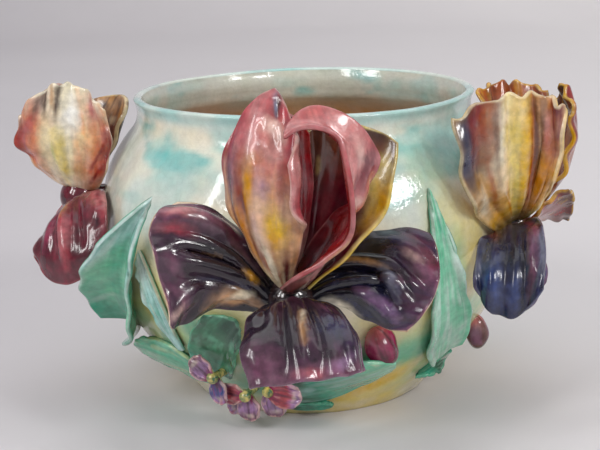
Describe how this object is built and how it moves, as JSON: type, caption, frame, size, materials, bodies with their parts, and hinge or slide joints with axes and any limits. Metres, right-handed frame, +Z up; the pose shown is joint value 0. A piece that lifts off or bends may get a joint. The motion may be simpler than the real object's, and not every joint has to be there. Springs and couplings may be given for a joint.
{
  "type": "jardiniere",
  "caption": "Round footed ceramic jardiniere with a rolled rim, modelled iris flowers, leaves and buds standing off its glazed wall, for a potted plant.",
  "frame": {"origin": "centre of the foot's flat underside, on the bowl's axis at floor level", "axes": "+Z up along the bowl's axis, -Y towards the front iris, +X to the viewer's right"},
  "size_m": [0.3811, 0.4054, 0.235],
  "materials": {
    "bowl_glaze": "glossy painted lead-type glaze",
    "leaf_glaze": "glossy painted lead-type glaze",
    "bud_glaze": "glossy painted lead-type glaze",
    "blossom_centre_glaze": "glossy painted lead-type glaze",
    "blossom_glaze": "glossy painted lead-type glaze",
    "seat_glaze": "glossy painted lead-type glaze",
    "fall_glaze": "glossy painted lead-type glaze",
    "standard_glaze": "glossy painted lead-type glaze"
  },
  "bodies": {
    "root": {"blossom_left_centre": "blossom_centre_glaze", "blossom_left_lobe_high": "blossom_glaze", "blossom_left_lobe_low": "blossom_glaze", "blossom_middle_centre": "blossom_centre_glaze", "blossom_middle_lobe_far": "blossom_glaze", "blossom_middle_lobe_left": "blossom_glaze", "blossom_middle_lobe_low": "blossom_glaze", "blossom_right_centre": "blossom_centre_glaze", "blossom_right_lobe_low": "blossom_glaze", "blossom_right_lobe_right": "blossom_glaze", "bowl": "bowl_glaze", "bud_front": "bud_glaze", "bud_right": "bud_glaze", "front_fall_centre": "blossom_centre_glaze", "front_fall_left": "fall_glaze", "front_fall_right": "fall_glaze", "front_inner_petal": "standard_glaze", "front_iris_seat": "seat_glaze", "front_standard_back": "standard_glaze", "front_standard_left": "standard_glaze", "front_standard_right": "standard_glaze", "leaf_back_centre": "leaf_glaze", "leaf_back_left": "leaf_glaze", "leaf_back_right": "leaf_glaze", "leaf_front_foot": "leaf_glaze", "leaf_front_glossy": "leaf_glaze", "leaf_front_low": "leaf_glaze", "leaf_left_foot": "leaf_glaze", "leaf_left_large": "leaf_glaze", "leaf_left_ridge": "leaf_glaze", "leaf_right_foot": "leaf_glaze", "leaf_right_upright": "leaf_glaze", "left_fall_far": "fall_glaze", "left_fall_near": "fall_glaze", "left_iris_seat": "seat_glaze", "left_standard_near": "standard_glaze", "left_standard_outer": "standard_glaze", "left_standard_wall": "standard_glaze", "right_fall_far": "fall_glaze", "right_fall_near": "fall_glaze", "right_fall_outer": "fall_glaze", "right_iris_seat": "seat_glaze", "right_standard_far": "standard_glaze", "right_standard_near": "standard_glaze", "right_standard_outer": "standard_glaze"}
  },
  "joints": []
}
